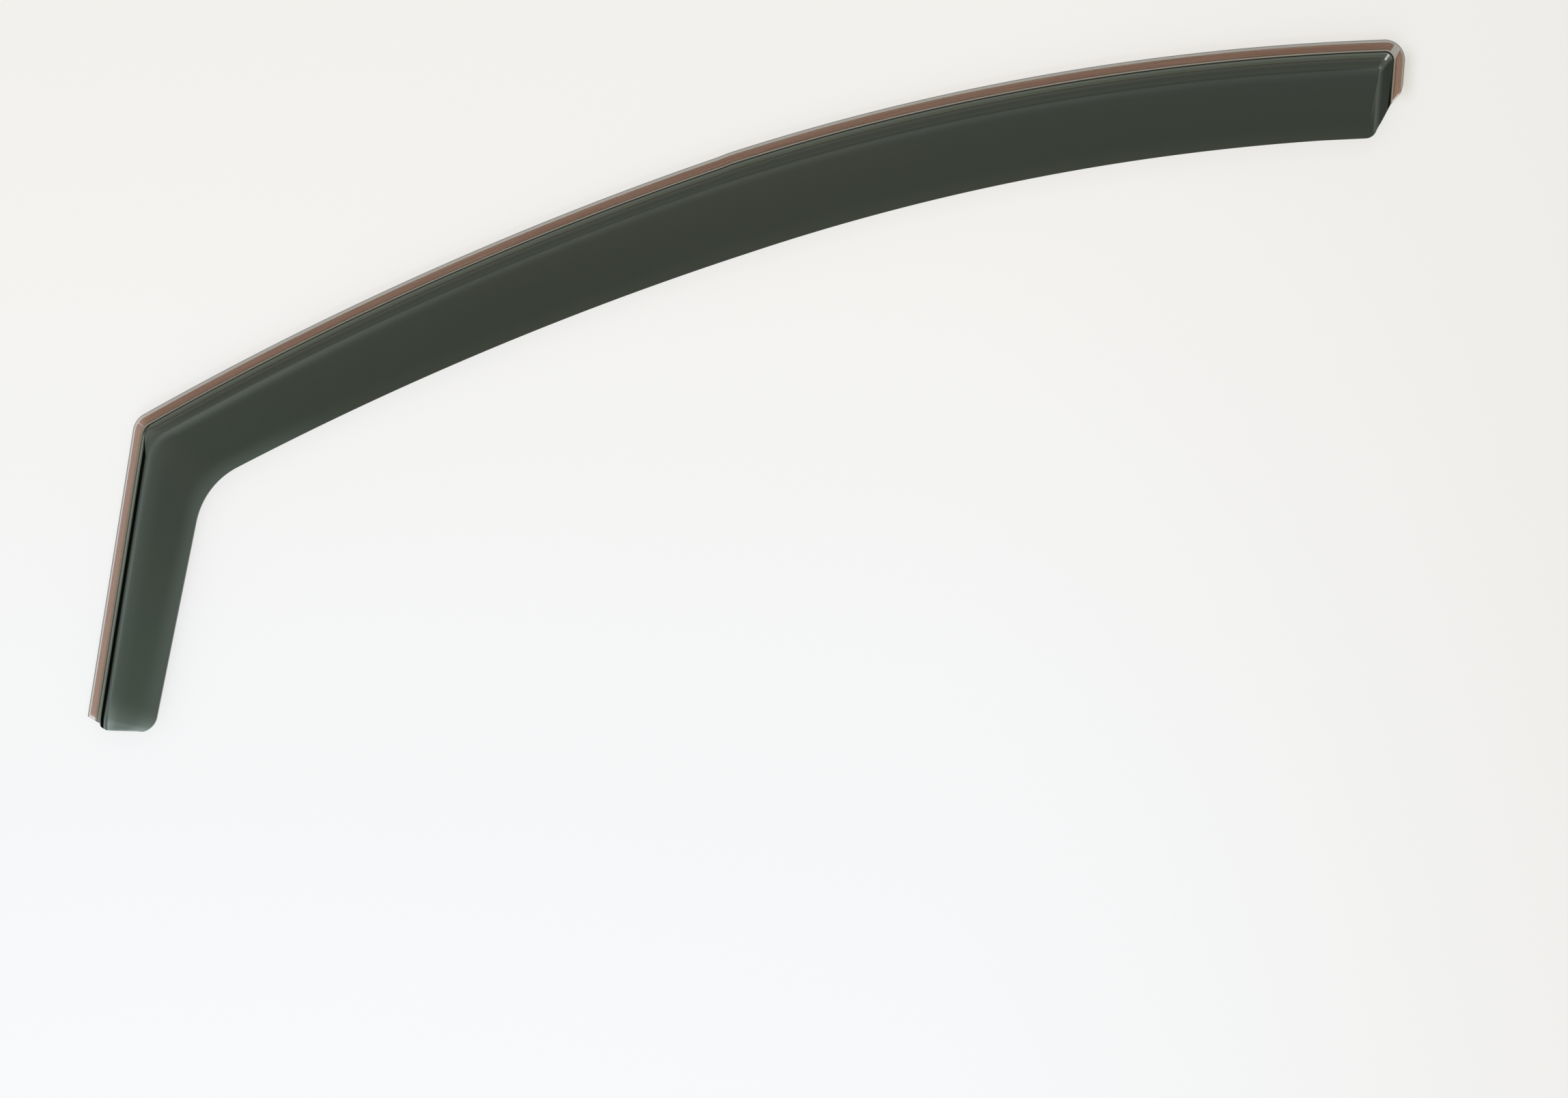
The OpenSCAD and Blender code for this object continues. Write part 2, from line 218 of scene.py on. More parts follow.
# Bands of the painted highlights, reflections, sheens and shade: start, end and softness
# in millimetres across the sheet, from the foot of the riser
RISER_BAND = (2.6, 5.6, 0.6)
ARC_RISER_BAND = (4.6, 8.2, 0.6)
FOLD_BAND = (0.5, 3.0, 0.4)
LEG_LINE_BAND = (0.5, 1.7, 0.25)
TOP_DARK_BAND = (1.8, 4.0, 0.6)
LEG_CREST_BAND = (7.5, 9.2, 0.4)
TURN_CREST_BAND = (8.6, 11.2, 1.4)
ELBOW_CREST_BAND = (7.8, 13.0, 2.5)
CORNER_CREST_BAND = (8.0, 9.8, 0.6)
END_RISER_BAND = (-1.0, 5.4, 0.6)
END_LINE_BAND = (6.4, 7.8, 0.6)
END_DARK_BAND = (-0.3, 1.2, 0.3)
GLINT_BAND = (1.0, 3.9, 0.4)
HIGHLIGHT_SPOT_BAND = (8.2, 9.6, 0.5)
FOOT_LINE_BAND = (-0.3, 0.3, 0.15)

# The painted shade line at the foot of the riser is this many times as wide on straight
# parts and in the turns, and in the elbow it moves inwards by some millimetres; the flange
# fades out over a span across the same line
FOOT_LINE_WIDTHS = (1.0, 1.5)
ELBOW_LINE_SHIFT = 0.9
FLANGE_EDGE = (-0.35, 0.25)

# The leg's dark band of painted shade: start and width in millimetres, at the elbow and
# down the leg, and its softness as a share of the width
LEG_DARK_START = (0.7, 3.5)
LEG_DARK_WIDTH = (0.8, 3.3)
LEG_DARK_SOFT = 0.18

# The flange beside the tape, in millimetres, and the bare patch in shares of the corner
RIM_OUTSIDE = 0.2
RIM_INSIDE = 0.6
OUTER_LINE = (0.25, 0.6)
BARE_SOFT = 0.03

# Shares of the leg, the elbow, the corner and the closed end over which a painted
# highlight, reflection or shade comes or goes; the tape gets paler up to its last number;
# the painted glint and the painted highlight spot of the corner are bands of the turn round it
ARC_PART = (0.35, 0.85)
ELBOW_PART = (0.25, 0.9)
CORNER_PART = (0.45, 0.95)
NEAR_CORNER_PART = (0.3, 0.8)
END_PART = (0.55, 0.95)
TIP_PART = (0.1, 0.9)
LEG_PART = (0.4, 1.0)
LEG_DARK_PART = (0.5, 0.75)
LEG_CREST_PART = (0.3, 1.0)
PAST_ELBOW_PART = (0.1, 0.8)
TAPE_PALE_PART = (0.0, 0.5, 0.0, 0.75)
GLINT_TURN = (0.31, 0.45, 0.05)
HIGHLIGHT_SPOT_TURN = (0.3, 0.48, 0.06)

# Lengths along the outer edge from the foot over which a painted sheen, highlight or shade
# comes or goes
FOOT_ROLL_LENGTHS = (0.0, 34.0)
NEAR_FOOT_LENGTHS = (0.0, 190.0)
LEG_TOP_LENGTHS = (100.0, 172.0)
NEAR_LEG_LENGTHS = (200.0, 300.0)
ELBOW_SHEEN_LENGTHS = (180.0, 460.0)
CREST_SHEEN_LENGTHS = (190.0, 430.0)
END_FADE_LENGTHS = (600.0, 1000.0)

# Shares of the way across the panel over which its painted sheens at the sides change and
# its shine fades past the crest; where four numbers are given, the last two are the
# strength at the start and at the end
FREE_EDGE_STARTS = (0.72, 0.52)
FREE_EDGE_END = 1.02
LEG_CREST_SIDE = (0.0, 0.4, 0.5, 0.0)
FOOT_CREST_SIDE = (0.0, 0.3, 0.75, 0.0)
CREST_SHINE_FADE = (0.02, 0.14)

# How strong some of the marks are, among them painted shade, painted highlights and the
# painted sheen at the foot
TOP_DARK_SHARE = 0.55
HIGHLIGHT_SPOT_SHARE = 0.12
FOOT_LINE_SHARE = 0.85
FOOT_MIDDLE_SHARE = 0.4
CLOUD_SHARE = 0.3
TAPE_MIDDLE_SHARE = 0.45
UNDER_FLANGE_ALPHA = 0.02

# Surface of the acrylic: scales of its noises per metre, lowest and highest roughness,
# height of its faint waves in metres
ACRYLIC_IOR = 1.49
CLOUD_SCALE = 14.0
GLOSS_SCALE = 90.0
GLOSS = (0.14, 0.22)
WAVE_SCALE = 22.0
WAVE_HEIGHT = 0.0006
WAVE_STRENGTH = 0.12

# Tape and liner: how fine their streaks are along and across, per millimetre; the scale,
# detail and roughness of the noise, and the levels from its dark to its light; the red
# band down the middle of the tape in millimetres; the grain of the foam in metres
TAPE_STRETCH = (0.006, 0.9)
TAPE_NOISE = (2.2, 4.0, 0.6)
TAPE_STREAKS = (0.35, 0.68)
TAPE_MIDDLE = (1.2, 3.0, 0.8)
TAPE_ROUGHNESS = 0.6
FOAM_SCALE = 900.0
FOAM_HEIGHT = 0.0002
FOAM_STRENGTH = 0.3
LINER_STRETCH = (0.03, 0.6)
LINER_NOISE = (3.0, 4.0)
LINER_ROUGHNESS = 0.35

# Table, in metres: the two ways along which its colour changes and the span of each
# change, the bands of the shade beside the closed end, its surface, size and place
TABLE_BEHIND = (0.3, 0.95, 0.0)
TABLE_RIGHT = (0.95, -0.3, 0.0)
WARM_SPAN = (-0.38, 0.3)
SHADE_SPAN = (0.1, 0.7)
END_SHADE_OUTSIDE = (-0.006, 0.005, 0.005)
END_SHADE_ALONG = (0.008, 0.034, 0.008)
TABLE_ROUGHNESS = 0.55
TABLE_SHINE = 0.2
FLOOR_REACH = 9.0
FLOOR_HEIGHT = -0.0001

# Room light: azimuth of the warm side and how evenly it goes over to the cool one, and
# soft patches of sky given as azimuth, elevation, radius of the core, radius of the
# edge, extra brightness
WORLD_COOL = (0.97, 0.985, 1.0)
WORLD_WARM = (1.0, 0.975, 0.94)
WORLD_STRENGTH = 0.76
WARM_AZIMUTH = 40
WARM_SIDE = 0.8
SKY_PATCHES = [
    (197, 76, 3, 9, 0.9),
    (177, 68, 3, 10, 0.5),
    (262, 76, 3, 10, 0.35),
    (240, 35, 10, 32, 0.5),
]

# Lights: azimuth, elevation, distance, size, power, colour
KEY_LIGHT = (240, 38, 2.2, (1.2, 1.2), 27, (0.84, 0.92, 1.0))
GLINT_LIGHT = (48, 45, 3, (0.3, 0.3), 4, (1.0, 1.0, 1.0))


def heading(angle):
    """Unit vector at an angle in degrees from +X."""
    return np.array([math.cos(math.radians(angle)), math.sin(math.radians(angle))])


def unit(v):
    return v / np.linalg.norm(v)


def cross(a, b):
    return a[0] * b[1] - a[1] * b[0]


def shares(name):
    """Even shares from 0 to 1, one for each station of a part."""
    return np.linspace(0, 1, STEPS[name] + 1)


def line(a, b, t):
    """Points on the straight line from a to b."""
    return a + np.outer(t, b - a)


def turn(centre, start, end, t):
    """Points of the arc that turns from start to end about a centre."""
    a = start - centre
    b = end - centre
    angle = math.atan2(cross(a, b), a @ b) * t
    return centre + np.c_[a[0] * np.cos(angle) - a[1] * np.sin(angle),
                          a[0] * np.sin(angle) + a[1] * np.cos(angle)]


def meet(p, d, q, e):
    """Point where the line through p along d meets the line through q along e."""
    return p + d * cross(q - p, e) / cross(d, e)


def reach_circle(p, d, centre, radius):
    """Length from p along d to where that line enters the circle."""
    v = p - centre
    b = v @ d
    return -b - math.sqrt(b * b - v @ v + radius * radius)


def angle_about(centre, p):
    """Angle in degrees from +Y at which a centre sees a point."""
    return math.degrees(math.atan2(p[0] - centre[0], p[1] - centre[1]))


# The two arcs, the elbow and the closed end
FRONT_CENTRE = -FRONT_RADIUS * heading(90 + JOIN_BEND / 2)
REAR_CENTRE = -REAR_RADIUS * heading(90 - JOIN_BEND / 2)
ELBOW_ANGLE = math.degrees(math.asin((FRONT_REACH + FRONT_CENTRE[0]) / FRONT_RADIUS))
END_ANGLE = math.degrees(math.asin((REAR_REACH - REAR_CENTRE[0]) / REAR_RADIUS))
ELBOW_CORNER = FRONT_CENTRE + FRONT_RADIUS * heading(90 + ELBOW_ANGLE)
END_CORNER = REAR_CENTRE + REAR_RADIUS * heading(90 - END_ANGLE)
LEG_DIR = heading(180 + ELBOW_ANGLE + ELBOW_TURN)
LEG_IN = np.array([-LEG_DIR[1], LEG_DIR[0]])
END_DIR = heading(-END_ANGLE - END_TURN)
END_IN = np.array([END_DIR[1], -END_DIR[0]])
CREST_ACROSS = END_FLANGE + END_CREST
FREE_RADIUS = REAR_RADIUS - END_WIDTH


def leg_point(along, across):
    """A point of the leg: along it from the elbow, and in from its edge."""
    return ELBOW_CORNER + along * LEG_DIR + across * LEG_IN


def end_point(along, across):
    """A point of the closed end: along it from its corner, and in from its edge."""
    return END_CORNER + along * END_DIR + across * END_IN


FREE_LINE = end_point(0, CREST_ACROSS + END_MARGIN)
FREE_CORNER = FREE_LINE + reach_circle(FREE_LINE, END_DIR, REAR_CENTRE, FREE_RADIUS) * END_DIR
FOOT_CUT = ((FREE_CORNER - END_CORNER) @ END_DIR
            - (END_CREST + END_MARGIN) * math.tan(math.radians(PANEL_CUT)))
CUT_INSET = CUT_RADIUS * (1 - math.sin(math.radians(FLANGE_CUT)))
CORNER_CUT = (FOOT_CUT - (END_FLANGE - CUT_INSET) * math.tan(math.radians(FLANGE_CUT))
              - CUT_RADIUS * math.cos(math.radians(FLANGE_CUT)))


def cut_along(across):
    """Where the slanting cut of the closed end ends a line at this distance from the edge."""
    if across > END_FLANGE:
        return FOOT_CUT + (across - END_FLANGE) * math.tan(math.radians(PANEL_CUT))
    if across > CUT_INSET:
        return FOOT_CUT - (END_FLANGE - across) * math.tan(math.radians(FLANGE_CUT))
    return CORNER_CUT + math.sqrt(CUT_RADIUS ** 2 - (CUT_RADIUS - across) ** 2)


# Places in the list of a rail's offsets from the outer edge, from the foot to the end
FOOT, LEG_ELBOW, ARC_ELBOW, JOIN_BEFORE, JOIN_AFTER, ARC_END, CLOSED_END = range(7)


def rail_leg_dir(offsets):
    """Direction of a rail down the leg, from the elbow to the foot."""
    return unit(leg_point(LEG_LENGTH, offsets[FOOT]) - leg_point(0, offsets[LEG_ELBOW]))


def rounding_centre(p, d, inward, radius, centre, arc_radius):
    """Centre of the rounding between a straight line and an arc, inside both."""
    start = p + radius * inward
    return start + reach_circle(start, d, centre, arc_radius - radius) * d


def elbow_points(offsets, radius):
    """The rounding of a rail in the elbow."""
    along = rail_leg_dir(offsets)
    inward = np.array([-along[1], along[0]])
    centre = rounding_centre(leg_point(0, offsets[LEG_ELBOW]), along, inward, radius,
                             FRONT_CENTRE, FRONT_RADIUS - offsets[ARC_ELBOW])
    return turn(centre, centre - inward * radius,
                centre + unit(centre - FRONT_CENTRE) * radius, shares("elbow"))


def corner_points(offsets, radius):
    """The rounding of a rail in the corner of the closed end."""
    centre = rounding_centre(end_point(0, offsets[CLOSED_END]), END_DIR, END_IN, radius,
                             REAR_CENTRE, REAR_RADIUS - offsets[ARC_END])
    return turn(centre, centre + unit(centre - REAR_CENTRE) * radius,
                centre - END_IN * radius, shares("corner"))


def rounded_corner(before, corner, after, radius, t):
    """Points of the rounding of a corner between two straight lines."""
    a = unit(before - corner)
    b = unit(after - corner)
    half = math.acos(a @ b) / 2
    reach = radius / math.tan(half)
    return turn(corner + unit(a + b) * radius / math.sin(half),
                corner + a * reach, corner + b * reach, t)


def arc_rail(centre, radius, start, end, offset_start, offset_end, t):
    """Points along an arc while the offset from the outer edge changes evenly."""
    angle = np.radians(start + (end - start) * t)
    reach = radius - (offset_start + (offset_end - offset_start) * t)
    return centre + np.c_[np.sin(angle), np.cos(angle)] * reach[:, None]


def arc_points(offsets, elbow_end, corner_begin):
    """A rail along the two arcs, with the small step at their join."""
    return np.vstack([
        arc_rail(FRONT_CENTRE, FRONT_RADIUS,
                 angle_about(FRONT_CENTRE, elbow_end),
                 angle_about(FRONT_CENTRE, (-HALF_STEP, 0)),
                 offsets[ARC_ELBOW], offsets[JOIN_BEFORE], shares("front")),
        arc_rail(REAR_CENTRE, REAR_RADIUS,
                 angle_about(REAR_CENTRE, (HALF_STEP, 0)),
                 angle_about(REAR_CENTRE, corner_begin),
                 offsets[JOIN_AFTER], offsets[ARC_END], shares("rear"))])


def leg_points(foot, elbow_begin):
    """Points along the leg, closer together near the foot."""
    span = FOOT_SPAN / np.linalg.norm(elbow_begin - foot)
    near = span * shares("foot")[:-1]
    far = span + (1 - span) * shares("leg")[:-1]
    return line(foot, elbow_begin, np.r_[near, far])


def flange_rail(offsets, elbow_rounding, corner_rounding, foot_along, cut):
    """A line along the piece, given by its offsets from the outer edge: foot, elbow on
    the leg, elbow on the arc, join before and after the step, arc at the closed end,
    closed end."""
    elbow = elbow_points(offsets, elbow_rounding)
    corner = corner_points(offsets, corner_rounding)
    return np.vstack([
        leg_points(leg_point(foot_along, offsets[FOOT]), elbow[0]),
        elbow,
        arc_points(offsets, elbow[-1], corner[0])[1:],
        corner[1:],
        line(corner[-1], end_point(cut, offsets[CLOSED_END]), shares("end"))[1:]])


def even_rail(offset):
    """A rail at one distance from the outer edge."""
    return flange_rail(
        [offset, offset, offset, offset + EDGE_STEP, offset, offset, offset],
        ELBOW_RADIUS - offset, END_RADIUS - offset,
        LEG_LENGTH + offset * FOOT_RISER_LEAD / LEG_FLANGE, cut_along(offset))


FOOT_RAIL = flange_rail(
    [LEG_FLANGE, LEG_FLANGE, ARC_FLANGE, ARC_FLANGE + EDGE_STEP, ARC_FLANGE, ARC_FLANGE,
     END_FLANGE],
    ELBOW_RADIUS - LEG_FLANGE, END_RADIUS - END_FLANGE,
    LEG_LENGTH + FOOT_RISER_LEAD, cut_along(END_FLANGE))
CREST_RAIL = flange_rail(
    [LEG_FLANGE + LEG_CREST] * 2 + [ARC_FLANGE + ARC_CREST] * 4 + [CREST_ACROSS],
    CREST_ELBOW_RADIUS, CREST_END_RADIUS,
    LEG_LENGTH + FOOT_CREST_LEAD, cut_along(CREST_ACROSS))
OUTER_RAIL = even_rail(0)


def free_rail():
    """The free edge, with the rounded corners at both ends."""
    offsets = [FOOT_WIDTH, LEG_WIDTH, ELBOW_WIDTH, JOIN_WIDTH, JOIN_WIDTH, END_WIDTH]
    along = rail_leg_dir(offsets)
    rake = (LEG_IN * math.cos(math.radians(FOOT_RAKE))
            - LEG_DIR * math.sin(math.radians(FOOT_RAKE)))
    bottom_corner = meet(CREST_RAIL[0], rake, leg_point(0, LEG_WIDTH), along)
    foot = rounded_corner(CREST_RAIL[0], bottom_corner, leg_point(0, LEG_WIDTH),
                          FOOT_CORNER_RADIUS, shares("foot"))
    elbow = elbow_points(offsets, INNER_ELBOW_RADIUS)
    fan_turn = math.degrees(FAN_LENGTH / FREE_RADIUS)
    fan_begin = REAR_CENTRE + FREE_RADIUS * heading(
        90 - angle_about(REAR_CENTRE, FREE_CORNER) + fan_turn)
    end = rounded_corner(fan_begin, FREE_CORNER, end_point(cut_along(0), 0),
                         END_CORNER_RADIUS, shares("end"))
    return np.vstack([
        foot,
        line(foot[-1], elbow[0], shares("leg"))[1:-1],
        elbow,
        arc_points(offsets, elbow[-1], fan_begin)[1:],
        line(fan_begin, end[0], shares("corner"))[1:],
        end[1:]])


FREE_RAIL = free_rail()
ROWS = len(FREE_RAIL)
STATIONS = np.arange(ROWS)
ELBOW_START = STEPS["foot"] + STEPS["leg"]
ARC_START = ELBOW_START + STEPS["elbow"]
CORNER_START = ARC_START + STEPS["front"] + 1 + STEPS["rear"]
END_START = CORNER_START + STEPS["corner"]
OUTLINE = np.vstack([OUTER_RAIL, FREE_RAIL])
MIDDLE = (OUTLINE.min(0) + OUTLINE.max(0)) / 2
FLANGE_BOTTOM = LINER + TAPE


def tape_rail(across):
    """A line along the tape, at this distance from its outer side."""
    leg = LEG_TAPE_INSET + across
    arc = ARC_TAPE_INSET + across
    end = END_TAPE_INSET + across
    return flange_rail([leg, leg, arc, arc + EDGE_STEP, arc, arc, end], ELBOW_RADIUS - arc,
                       END_RADIUS - arc,
                       LEG_LENGTH + leg * FOOT_RISER_LEAD / LEG_FLANGE - TAPE_END_INSET,
                       cut_along(end) - TAPE_END_INSET / math.cos(math.radians(FLANGE_CUT)))


TAPE_OUTSIDE = tape_rail(0)
TAPE_INSIDE = tape_rail(TAPE_WIDTH)


def station_normals():
    """Inward normal of the outline at each station."""
    centres = np.where(FOOT_RAIL[:, :1] < 0, FRONT_CENTRE, REAR_CENTRE)
    normals = centres - FOOT_RAIL
    normals /= np.linalg.norm(normals, axis=1)[:, None]
    origin = np.zeros(2)
    normals[:ELBOW_START + 1] = LEG_IN
    normals[ELBOW_START:ARC_START + 1] = turn(origin, LEG_IN, normals[ARC_START],
                                              shares("elbow"))
    normals[CORNER_START:END_START + 1] = turn(origin, normals[CORNER_START], END_IN,
                                               shares("corner"))
    normals[END_START:] = END_IN
    return normals


def riser_height(d, crest):
    """Height over the flange at a distance from the riser's foot."""
    slope = math.radians(RISER_SLOPE)
    fold = (crest * math.tan(slope) - RISE) / (1 / math.cos(slope) - 1) - FOOT_FOLD
    wall_start = FOOT_FOLD * math.sin(slope)
    wall_end = crest - fold * math.sin(slope)
    low = FOOT_FOLD - np.sqrt(FOOT_FOLD ** 2 - np.clip(d, 0, wall_start) ** 2)
    wall = FOOT_FOLD * (1 - math.cos(slope)) + (d - wall_start) * math.tan(slope)
    high = RISE - fold + np.sqrt(fold ** 2 - np.clip(crest - d, 0, fold) ** 2)
    return np.where(d < wall_start, low, np.where(d < wall_end, wall, high))


def panel_height(share):
    """Height of the panel over the flange: it falls towards the free edge, along the
    closed end and at the foot."""
    crest_radius = REAR_RADIUS - ARC_FLANGE - ARC_CREST
    end_share = (crest_radius - np.linalg.norm(CREST_RAIL - REAR_CENTRE, axis=1)) / (
        crest_radius - FREE_RADIUS)
    end_share = np.where(STATIONS > CORNER_START, end_share.clip(0), 0)[:, None]
    from_foot = np.linalg.norm(CREST_RAIL - CREST_RAIL[0], axis=1) / FOOT_ROLL_LENGTH
    foot_fall = (FOOT_ROLL * (1 - from_foot.clip(0, 1)) ** 2)[:, None]
    fall = end_share + (1 - end_share) * share
    fall = np.where(fall < CREST_SHARE, fall ** 2 / (2 * CREST_SHARE), fall - CREST_SHARE / 2)
    fall /= 1 - CREST_SHARE / 2
    return RISE - foot_fall - PANEL_FALL * fall * (1 - PANEL_CROWN + PANEL_CROWN * fall)


def sheet_grid():
    """Places of the grid points in plan, with their distance from the riser's foot, their
    share of the way across the panel, and the height of both faces."""
    normals = station_normals()
    crest = ((CREST_RAIL - FOOT_RAIL) * normals).sum(1)[:, None]
    panel = ((FREE_RAIL - CREST_RAIL) * normals).sum(1)[:, None]
    flange = ((FOOT_RAIL - OUTER_RAIL) * normals).sum(1)[:, None]
    insets = np.linspace(0, FLANGE_SPAN, FLANGE_COLUMNS)
    flange_rails = [even_rail(inset) for inset in insets]
    riser_shares = np.linspace(0, 1, RISER_COLUMNS + 1)
    panel_shares = np.linspace(0, 1, PANEL_COLUMNS + 1)[1:] ** PANEL_GRADING
    plan = np.stack(
        flange_rails
        + [FOOT_RAIL + (CREST_RAIL - FOOT_RAIL) * t for t in riser_shares]
        + [CREST_RAIL + (FREE_RAIL - CREST_RAIL) * t for t in panel_shares], axis=1)
    across = np.hstack([insets - flange, crest * riser_shares,
                        crest + panel * panel_shares])
    share = np.hstack([np.zeros((ROWS, FLANGE_COLUMNS + len(riser_shares))),
                       np.tile(panel_shares, (ROWS, 1))])
    wall_shift = SHEET * (1 / math.cos(math.radians(RISER_SLOPE)) - 1) / math.tan(
        math.radians(RISER_SLOPE))
    top = panel_height(share)
    upper = riser_height(across, crest) / RISE * top + SHEET
    lower = riser_height(across - wall_shift, crest) / RISE * top
    return plan - MIDDLE, across, share, upper + FLANGE_BOTTOM, lower + FLANGE_BOTTOM


def along_edge():
    """Length along the outer edge up to each station."""
    steps = np.linalg.norm(np.diff(OUTER_RAIL, axis=0), axis=1)
    return np.r_[0, np.cumsum(steps)]


def zone(first, last):
    """A value per station that goes from 0 to 1 between two stations."""
    return np.interp(STATIONS, [first, last], [0, 1])


def new_object(name, vertices, faces, values):
    """A mesh object from points in millimetres, with one attribute per named value."""
    mesh = bpy.data.meshes.new(name)
    mesh.from_pydata((np.asarray(vertices) * MM).tolist(), [], faces)
    for key, column in values.items():
        attribute = mesh.attributes.new(key, "FLOAT", "POINT")
        attribute.data.foreach_set("value", np.asarray(column, np.float32).ravel())
    obj = bpy.data.objects.new(name, mesh)
    bpy.context.scene.collection.objects.link(obj)
    return obj


def round_edges(obj, radius, segments):
    """Rounds the sharp edges and shades the whole piece smooth."""
    bm = bmesh.new()
    bm.from_mesh(obj.data)
    sharp = [e for e in bm.edges if e.calc_face_angle(0) > math.radians(SHARP_ANGLE)]
    bmesh.ops.bevel(bm, geom=sharp, offset=radius * MM, offset_type="OFFSET",
                    segments=segments, profile=0.5, affect="EDGES", clamp_overlap=False)
    bm.to_mesh(obj.data)
    bm.free()
    obj.data.shade_smooth()
    weighted = obj.modifiers.new("even_normals", "WEIGHTED_NORMAL")
    weighted.keep_sharp = True
    return obj


def tube_faces(rows, loop):
    """Quads of a closed tube of rows, each a loop of points, with both ends capped."""
    faces = []
    for i in range(rows - 1):
        for j in range(loop):
            a = i * loop + j
            b = i * loop + (j + 1) % loop
            faces.append((a, b, b + loop, a + loop))
    faces.append(tuple(reversed(range(loop))))
    faces.append(tuple(range((rows - 1) * loop, rows * loop)))
    return faces


def sheet_faces(columns):
    """Quads of the upper face, the lower face and the four sides of the sheet."""
    under = ROWS * columns
    faces = []
    for i in range(ROWS - 1):
        for j in range(columns - 1):
            a = i * columns + j
            b = a + columns
            faces.append((a, a + 1, b + 1, b))
            faces.append((under + b, under + b + 1, under + a + 1, under + a))
    for i in range(ROWS - 1):
        a = i * columns
        b = a + columns
        c = a + columns - 1
        d = b + columns - 1
        faces.append((a, b, under + b, under + a))
        faces.append((d, c, under + c, under + d))
    last = (ROWS - 1) * columns
    for j in range(columns - 1):
        a = last + j
        faces.append((j + 1, j, under + j, under + j + 1))
        faces.append((a, a + 1, under + a + 1, under + a))
    return faces


def sheet_values(across, share):
    """Attributes of the sheet's points: where each is along and across the piece."""
    columns = across.shape[1]
    elbow_middle = ELBOW_START + STEPS["elbow"] / 2
    corner_middle = CORNER_START + STEPS["corner"] / 2
    per_row = {
        "along": along_edge(),
        "elbow": 1 - abs(STATIONS - elbow_middle) / STEPS["elbow"],
        "corner": 1 - abs(STATIONS - corner_middle) / STEPS["corner"],
        "leg": 1 - zone(ELBOW_START, ARC_START),
        "closed_end": zone(CORNER_START, END_START),
        "tip": zone(END_START, ROWS - 1),
    }
    values = {key: np.tile(np.repeat(row, columns), 2) for key, row in per_row.items()}
    values["across"] = np.tile(across.ravel(), 2)
    values["panel_share"] = np.tile(share.ravel(), 2)
    values["inset"] = np.tile((across - across[:, :1]).ravel(), 2)
    values["lower_face"] = np.repeat([0.0, 1.0], ROWS * columns)
    return values


def build_sheet():
    """The thermoformed sheet: its upper and lower faces share one grid."""
    plan, across, share, upper, lower = sheet_grid()
    points = np.vstack([np.dstack([plan, upper]).reshape(-1, 3),
                        np.dstack([plan, lower]).reshape(-1, 3)])
    sheet = new_object("smoke_sheet", points, sheet_faces(plan.shape[1]),
                       sheet_values(across, share))
    return round_edges(sheet, EDGE_ROUNDING, EDGE_SEGMENTS)


def rail_at(rail, index):
    """Points of a rail at station numbers that need not be whole."""
    return np.c_[np.interp(index, STATIONS, rail[:, 0]), np.interp(index, STATIONS, rail[:, 1])]


def build_strip(name, outside, inside, bottom, top, rounding):
    """A strip between two ranges of stations, one for its outer side, one for its inner."""
    rows = 1 + max(outside[1] - outside[0], inside[1] - inside[0])
    t = np.linspace(0, 1, rows)
    outer_at = outside[0] + (outside[1] - outside[0]) * t
    inner_at = inside[0] + (inside[1] - inside[0]) * t
    outer = rail_at(TAPE_OUTSIDE, outer_at) - MIDDLE
    inner = rail_at(TAPE_INSIDE, inner_at) - MIDDLE
    width = np.linalg.norm(inner - outer, axis=1)[:, None]
    edge = rounding / TAPE_WIDTH
    top_shares = np.linspace(edge, 1 - edge, STRIP_COLUMNS)
    section_shares = np.r_[0, top_shares, 1, 1 - edge, edge]
    section_heights = np.r_[top - rounding, np.full(STRIP_COLUMNS, top), top - rounding,
                            bottom, bottom]
    plan = outer[:, None] + (inner - outer)[:, None] * section_shares[None, :, None]
    heights = np.tile(section_heights, (rows, 1))
    points = np.dstack([plan, heights]).reshape(-1, 3)
    loop = len(section_shares)
    values = {
        "along": np.repeat(np.interp(outer_at, STATIONS, along_edge()), loop),
        "leg": np.repeat(np.interp(outer_at, [ELBOW_START, ARC_START], [1, 0]), loop),
        "across": (section_shares * width).ravel(),
    }
    strip = new_object(name, points, tube_faces(rows, loop), values)
    strip.data.shade_smooth()
    return strip


def build_strips(kind, bottom, top):
    """The three strips of one layer of the tape, one for each CAD node."""
    leg_end = ELBOW_START + LEG_STRIP_END
    arc_start = ELBOW_START + ARC_STRIP_START
    corner = CORNER_START + CORNER_STRIPS
    spans = {
        "leg": [(0, leg_end), (0, leg_end)],
        "arc": [(arc_start, corner), (arc_start, corner)],
        "end": [(CORNER_START + END_STRIP_OUTSIDE, ROWS - 1),
                (CORNER_START + END_STRIP_INSIDE, ROWS - 1)],
    }
    return {f"{place}_{kind}": build_strip(f"{place}_{kind}_strip", outside, inside,
                                           bottom, top, STRIP_ROUNDING)
            for place, (outside, inside) in spans.items()}


